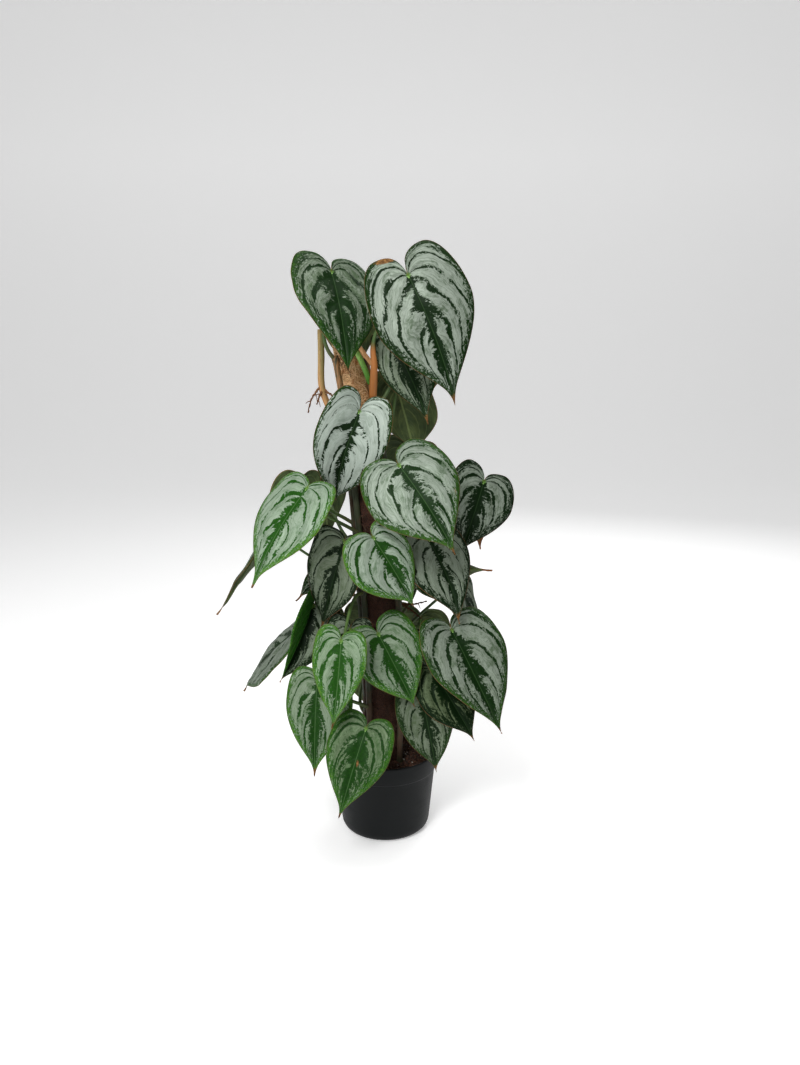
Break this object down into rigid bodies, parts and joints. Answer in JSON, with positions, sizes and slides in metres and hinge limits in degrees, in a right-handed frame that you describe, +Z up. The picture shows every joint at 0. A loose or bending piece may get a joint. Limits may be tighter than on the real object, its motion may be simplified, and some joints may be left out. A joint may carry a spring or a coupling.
{
  "type": "potted climbing plant",
  "caption": "Climbing house plant with silvery heart-shaped leaves on a coir pole, rooted in potting mix in a round nursery pot that stands on its flat base.",
  "frame": {"origin": "centre of the pot's flat underside, on the surface that it stands on", "axes": "+Z up along the pot's axis; the plant's front, with most of its leaves, looks towards -Y; +X to the right seen from the front"},
  "size_m": [0.3244, 0.2128, 0.6493],
  "materials": {
    "pot": "satin",
    "soil": "matte",
    "stake": "matte",
    "coir": "matte",
    "stem": "matte",
    "leaf": "satin",
    "shoot": "satin",
    "sheath": "matte"
  },
  "bodies": {
    "root": {"pot": "pot", "soil": "soil", "pole_stake": "stake", "coir_sleeve": "coir", "stem_front_left": "stem", "stem_front_right": "stem", "stem_back_right": "stem", "stem_back_left": "stem", "new_leaf_roll": "shoot", "shoot_sheath": "sheath", "leaf_top_left": "leaf", "leaf_top_right": "leaf", "leaf_upper_shaded": "leaf", "leaf_upper_behind": "leaf", "leaf_silver": "leaf", "leaf_middle_front": "leaf", "leaf_middle_right": "leaf", "leaf_middle_left": "leaf", "leaf_middle_left_behind": "leaf", "leaf_edge_on": "leaf", "leaf_olive": "leaf", "leaf_centre_front": "leaf", "leaf_right_grey": "leaf", "leaf_right_point": "leaf", "leaf_right_behind": "leaf", "leaf_centre_underside": "leaf", "leaf_right_curled": "leaf", "leaf_left_small": "leaf", "leaf_low_far_left": "leaf", "leaf_low_folded": "leaf", "leaf_low_dark": "leaf", "leaf_low_bright": "leaf", "leaf_low_centre": "leaf", "leaf_low_centre_behind": "leaf", "leaf_low_right": "leaf", "leaf_low_right_shaded": "leaf", "leaf_pot_left": "leaf", "leaf_pot_front": "leaf", "leaf_pot_right": "leaf", "leaf_back_top_right": "leaf", "leaf_back_top_left": "leaf", "leaf_back_upper_left": "leaf", "leaf_back_upper_right": "leaf", "leaf_back_left": "leaf", "leaf_back_middle": "leaf", "leaf_back_right": "leaf", "leaf_back_low_left": "leaf", "leaf_back_low_right": "leaf", "leaf_back_pot_left": "leaf", "leaf_back_pot_right": "leaf"}
  },
  "joints": []
}
